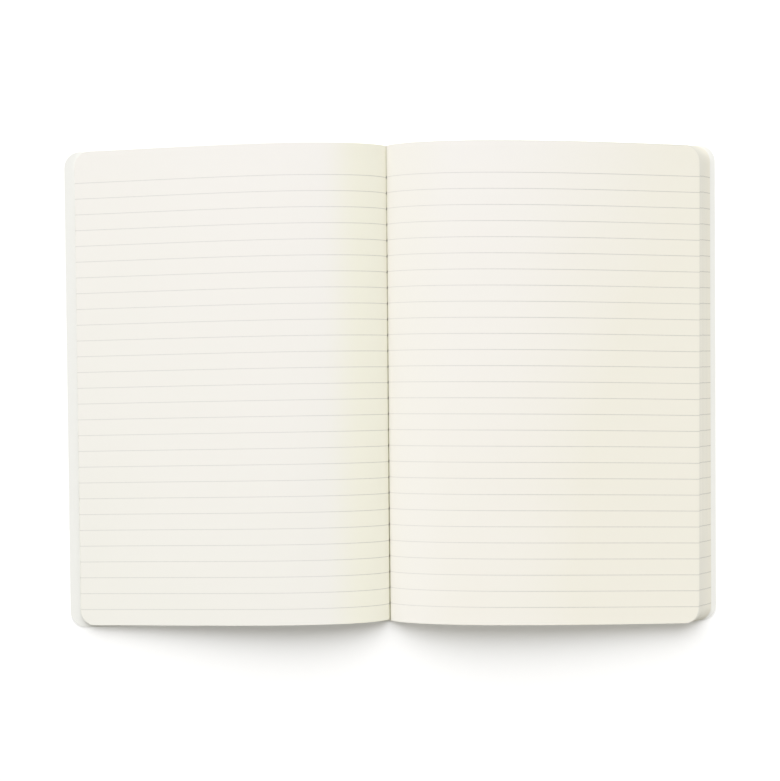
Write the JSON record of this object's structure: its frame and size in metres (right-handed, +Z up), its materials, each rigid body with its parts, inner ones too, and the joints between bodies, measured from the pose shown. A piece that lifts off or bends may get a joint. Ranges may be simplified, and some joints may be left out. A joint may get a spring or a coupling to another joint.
{
  "type": "open notebook",
  "caption": "Soft-cover ruled notebook lying open on its cover, with arched pages that meet in a gutter and covers that fold shut.",
  "frame": {"origin": "middle of the spine, on the surface that the open notebook lies on", "axes": "+X across the right page, +Y to the head of the pages, +Z up"},
  "size_m": [0.2894, 0.2126, 0.0125],
  "materials": {
    "cover_card": "uncoated pale card",
    "ruled_paper": "ivory writing paper with grey ruled lines"
  },
  "bodies": {
    "back_half": {"back_cover": "cover_card", "page_block": "ruled_paper"},
    "spine_strip": {"spine": "cover_card"},
    "front_half": {"front_cover": "cover_card"}
  },
  "joints": [
    {"name": "back_crease", "type": "hinge", "parent": "back_half", "child": "spine_strip", "pos_m": [0.0037, 0, 0.0005], "axis": [0, 1, 0], "range_deg": [0, 90], "deforming": ["page_block"]},
    {"name": "front_crease", "type": "hinge", "parent": "spine_strip", "child": "front_half", "pos_m": [-0.0037, 0, 0.0005], "axis": [0, 1, 0], "range_deg": [0, 90], "deforming": ["page_block"]}
  ]
}
